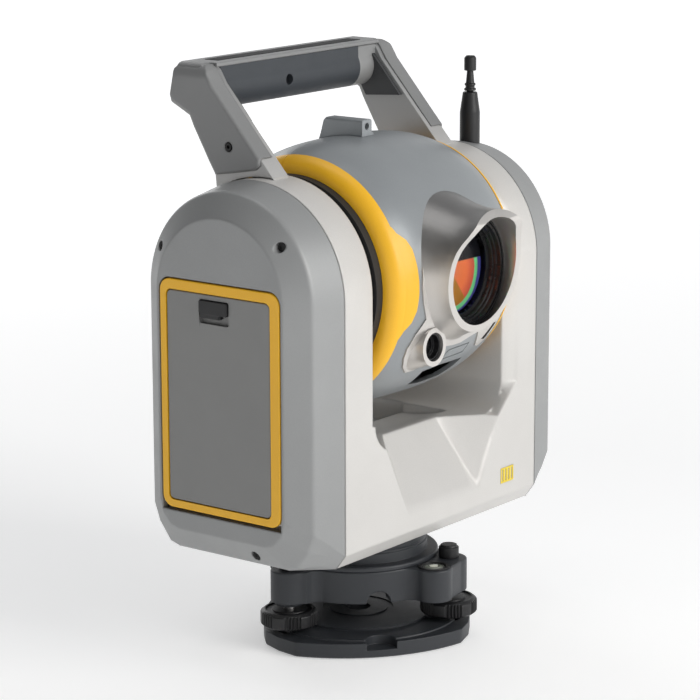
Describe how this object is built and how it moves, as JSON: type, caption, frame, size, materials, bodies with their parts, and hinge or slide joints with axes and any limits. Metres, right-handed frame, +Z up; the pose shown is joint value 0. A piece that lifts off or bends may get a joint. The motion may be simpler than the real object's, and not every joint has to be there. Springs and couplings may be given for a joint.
{
  "type": "terrestrial laser scanner",
  "caption": "Scanning total station: yoke with tilting telescope drum and hooded lens, carrying handle, battery door and antenna, on a three-screw tribrach.",
  "frame": {"origin": "centre of the tribrach's bottom face, on the vertical axis", "axes": "+Z up along the vertical axis, telescope looks along -Y, tilt axis along X, battery side at -X"},
  "size_m": [0.2892, 0.2001, 0.3895],
  "materials": {
    "silver": "satin silver-grey paint on die-cast metal",
    "cover_grey": "fine-textured satin mid grey",
    "drum_grey": "satin blue-grey",
    "yellow": "satin yellow-orange",
    "nickel": "satin nickel",
    "black": "satin black",
    "charcoal": "satin charcoal paint",
    "steel": "machined",
    "aluminium": "machined",
    "grip": "soft-touch dark slate",
    "rubber": "matt black",
    "glass": "coated optical glass",
    "pcb": "solder-masked board",
    "copper": "varnished winding"
  },
  "bodies": {
    "tribrach": {"base_plate": "charcoal", "spring_plate": "charcoal", "tribrach_body": "charcoal", "foot_bushes": "steel", "foot_caps": "black", "level_housing": "black", "level_vial": "glass", "instrument_base": "charcoal", "azimuth_bearings": "steel", "azimuth_stator": "copper", "data_connector": "steel"},
    "foot_screw_a": {"foot_knob_a": "black", "foot_spindle_a": "steel"},
    "foot_screw_b": {"foot_knob_b": "black", "foot_spindle_b": "steel"},
    "foot_screw_c": {"foot_knob_c": "black", "foot_spindle_c": "steel"},
    "lock_lever": {"lock_lever": "black"},
    "clamp_ring": {"clamp_ring": "steel"},
    "alidade": {"yoke_housing": "silver", "azimuth_spindle": "steel", "azimuth_circle": "glass", "azimuth_rotor": "steel", "left_cover": "cover_grey", "right_cover": "cover_grey", "cover_gaskets": "rubber", "case_screws": "steel", "handle_frame": "silver", "handle_pad_left": "cover_grey", "handle_pad_right": "cover_grey", "handle_grip": "grip", "handle_inner_pads": "grip", "handle_top_strip": "rubber", "antenna_base": "black", "antenna_whip": "black", "battery_tray": "black", "battery": "cover_grey", "main_board": "pcb", "door_hinge_pin": "steel", "trunnion_bearings": "steel", "tilt_motor": "copper", "badge": "yellow"},
    "power_button": {"power_button": "black"},
    "battery_door": {"door_panel": "cover_grey", "door_frame": "yellow"},
    "door_latch": {"door_latch": "black"},
    "telescope": {"drum_front_shell": "drum_grey", "drum_rear_shell": "drum_grey", "accent_rings": "yellow", "side_discs": "rubber", "lens_hood": "nickel", "lens_tube": "black", "objective_lens": "glass", "camera_lens": "black", "sensor_windows": "glass", "sight_bar": "drum_grey", "telescope_frame": "aluminium", "tilt_circle": "glass", "edm_module": "aluminium"},
    "scan_prism": {"scan_prism": "glass"}
  },
  "joints": [
    {"name": "alidade_turn", "type": "hinge", "parent": "tribrach", "child": "alidade", "pos_m": [0, 0, 0.1], "axis": [0, 0, 1], "continuous": true},
    {"name": "telescope_tilt", "type": "hinge", "parent": "alidade", "child": "telescope", "pos_m": [0, 0, 0.249], "axis": [-1, 0, 0], "range_deg": [-60, 240]},
    {"name": "foot_screw_turn_a", "type": "hinge", "parent": "tribrach", "child": "foot_screw_a", "pos_m": [-0.06279, 0.01011, 0.02], "axis": [0, 0, 1], "range_deg": [-720, 720]},
    {"name": "foot_screw_turn_b", "type": "hinge", "parent": "tribrach", "child": "foot_screw_b", "pos_m": [0.02264, -0.05944, 0.02], "axis": [0, 0, 1], "range_deg": [-720, 720]},
    {"name": "foot_screw_turn_c", "type": "hinge", "parent": "tribrach", "child": "foot_screw_c", "pos_m": [0.04015, 0.04932, 0.02], "axis": [0, 0, 1], "range_deg": [-720, 720]},
    {"name": "lock_turn", "type": "hinge", "parent": "tribrach", "child": "lock_lever", "pos_m": [-0.01958, 0.0514, 0.042], "axis": [-0.3559, 0.9345, 0], "range_deg": [0, 180]},
    {"name": "clamp_ring_turn", "type": "hinge", "parent": "tribrach", "child": "clamp_ring", "pos_m": [0, 0, 0.045], "axis": [0, 0, 1], "range_deg": [0, 20]},
    {"name": "power_button_press", "type": "slide", "parent": "alidade", "child": "power_button", "axis": [0, -1, 0], "range_m": [0, 0.0012], "stiffness_N_per_m": 400},
    {"name": "battery_door_open", "type": "hinge", "parent": "alidade", "child": "battery_door", "pos_m": [-0.1414, 0, 0.1115], "axis": [0, -1, 0], "range_deg": [0, 100]},
    {"name": "door_latch_slide", "type": "slide", "parent": "battery_door", "child": "door_latch", "axis": [0, 0, -1], "range_m": [0, 0.0025], "stiffness_N_per_m": 400},
    {"name": "scan_prism_spin", "type": "hinge", "parent": "telescope", "child": "scan_prism", "pos_m": [0, 0, 0.256], "axis": [0, -1, 0], "continuous": true}
  ],
  "couplings": [
    {"joint": "clamp_ring_turn", "follows": "lock_turn", "ratio": 0.11111}
  ]
}
